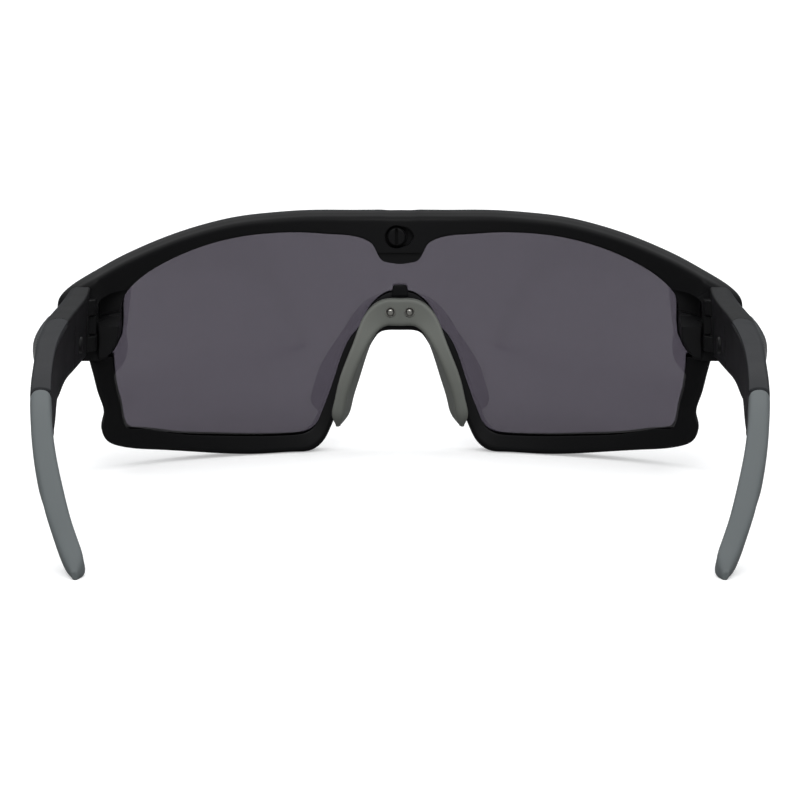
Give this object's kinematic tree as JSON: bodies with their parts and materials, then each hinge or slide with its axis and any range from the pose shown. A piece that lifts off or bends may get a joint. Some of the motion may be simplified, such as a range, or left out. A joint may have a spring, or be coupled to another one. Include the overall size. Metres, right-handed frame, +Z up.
{
  "type": "wraparound sport sunglasses",
  "caption": "Shield-lens sport sunglasses with folding temples, rubber tips and nose saddle, a clip-off lower frame and a coin-turned lens lock.",
  "frame": {"origin": "on the table surface that the open glasses stand on, under the middle of their box", "axes": "+Z up; -Y the way the wearer looks, so the temples run back along +Y; +X to the wearer's left; the glasses are mirror images in X apart from the lens lock"},
  "size_m": [0.1414, 0.1544, 0.05],
  "materials": {
    "frame_black": "fine satin, as moulded",
    "lens_smoke": "polished, smoke tint",
    "grip_grey": "satin",
    "trim_black": "semi-gloss",
    "tip_grey": "matte, soft touch",
    "nose_grey": "matte, soft touch",
    "seal_black": "matte",
    "steel": "bright"
  },
  "bodies": {
    "front": {"brow_frame": "frame_black", "lens": "lens_smoke", "lower_frame": "frame_black", "lock_ring": "seal_black", "nose_saddle": "nose_grey", "nose_core": "steel", "nose_pin_left": "steel", "nose_pin_right": "steel", "hinge_screw_left": "steel", "hinge_screw_right": "steel"},
    "temple_left": {"temple_arm_left": "frame_black", "temple_grip_left": "grip_grey", "side_trim_left": "trim_black", "temple_tip_left": "tip_grey", "tip_core_left": "steel"},
    "temple_right": {"temple_arm_right": "frame_black", "temple_grip_right": "grip_grey", "side_trim_right": "trim_black", "temple_tip_right": "tip_grey", "tip_core_right": "steel"},
    "lens_lock": {"lock_knob": "frame_black", "lock_cam": "frame_black"}
  },
  "joints": [
    {"name": "temple_fold_left", "type": "hinge", "parent": "front", "child": "temple_left", "pos_m": [0.0622, -0.03615, 0.0305], "axis": [0, 0, 1], "range_deg": [0, 92]},
    {"name": "temple_fold_right", "type": "hinge", "parent": "front", "child": "temple_right", "pos_m": [-0.0622, -0.03615, 0.0305], "axis": [0, 0, -1], "range_deg": [0, 85.2]},
    {"name": "lens_lock_turn", "type": "hinge", "parent": "front", "child": "lens_lock", "pos_m": [0.0007, -0.07, 0.0444], "axis": [0, 1, 0], "range_deg": [0, 90]}
  ]
}
